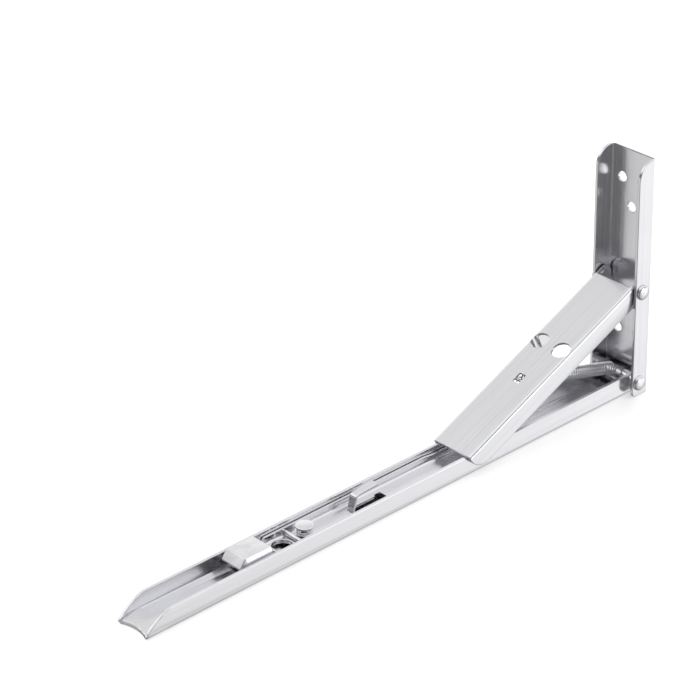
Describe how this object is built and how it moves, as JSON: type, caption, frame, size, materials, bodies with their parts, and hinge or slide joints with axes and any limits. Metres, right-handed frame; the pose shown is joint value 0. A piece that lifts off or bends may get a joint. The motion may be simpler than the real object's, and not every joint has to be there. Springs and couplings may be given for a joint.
{
  "type": "folding shelf bracket",
  "caption": "Folding steel shelf bracket: wall plate, shelf arm and locking brace, with a press lever that frees the brace so that it folds flat.",
  "frame": {"origin": "middle of the wall plate's back face, level with the arm's shelf face", "axes": "+X out of the wall plate's back into the wall, the arm runs along -X; +Z from the shelf face towards the brace; -Y is the near side"},
  "size_m": [0.3, 0.0302, 0.1188],
  "materials": {
    "brushed_stainless": "fine brushed along the length",
    "polished_steel": "polished",
    "spring_steel": "bright drawn wire"
  },
  "bodies": {
    "plate": {"wall_plate": "brushed_stainless", "arm_pivot_rivet": "polished_steel", "arm_pivot_sleeve": "polished_steel", "arm_spacer_near": "polished_steel", "arm_spacer_far": "polished_steel", "brace_rivet_near": "polished_steel", "brace_rivet_far": "polished_steel"},
    "arm": {"shelf_arm": "brushed_stainless", "fulcrum_pin": "polished_steel", "lever_rivet": "polished_steel", "lever_spring": "spring_steel"},
    "strut": {"brace": "brushed_stainless"},
    "coil": {"assist_spring": "spring_steel"},
    "lever": {"release_lever": "brushed_stainless", "press_pad": "polished_steel", "pad_rivet": "polished_steel"}
  },
  "joints": [
    {"name": "arm_fold", "type": "hinge", "parent": "plate", "child": "arm", "pos_m": [-0.0071, 0, 0.0067], "axis": [0, 1, 0], "range_deg": [0, 90]},
    {"name": "brace_swing", "type": "hinge", "parent": "plate", "child": "strut", "pos_m": [-0.0071, 0, 0.054], "axis": [0, 1, 0], "range_deg": [0, 114.5]},
    {"name": "spring_swing", "type": "hinge", "parent": "plate", "child": "coil", "pos_m": [-0.0071, 0, 0.0067], "axis": [0, 1, 0], "range_deg": [0, 73.8], "deforming": ["assist_spring"]},
    {"name": "release_press", "type": "hinge", "parent": "arm", "child": "lever", "pos_m": [-0.21, 0, 0.0058], "axis": [0, -1, 0], "range_deg": [0, 1.2], "stiffness_Nm_per_rad": 0.3, "springref_deg": -17.19}
  ],
  "couplings": [
    {"joint": "brace_swing", "follows": "arm_fold", "ratio": 1.2665},
    {"joint": "spring_swing", "follows": "arm_fold", "ratio": 0.8149}
  ]
}
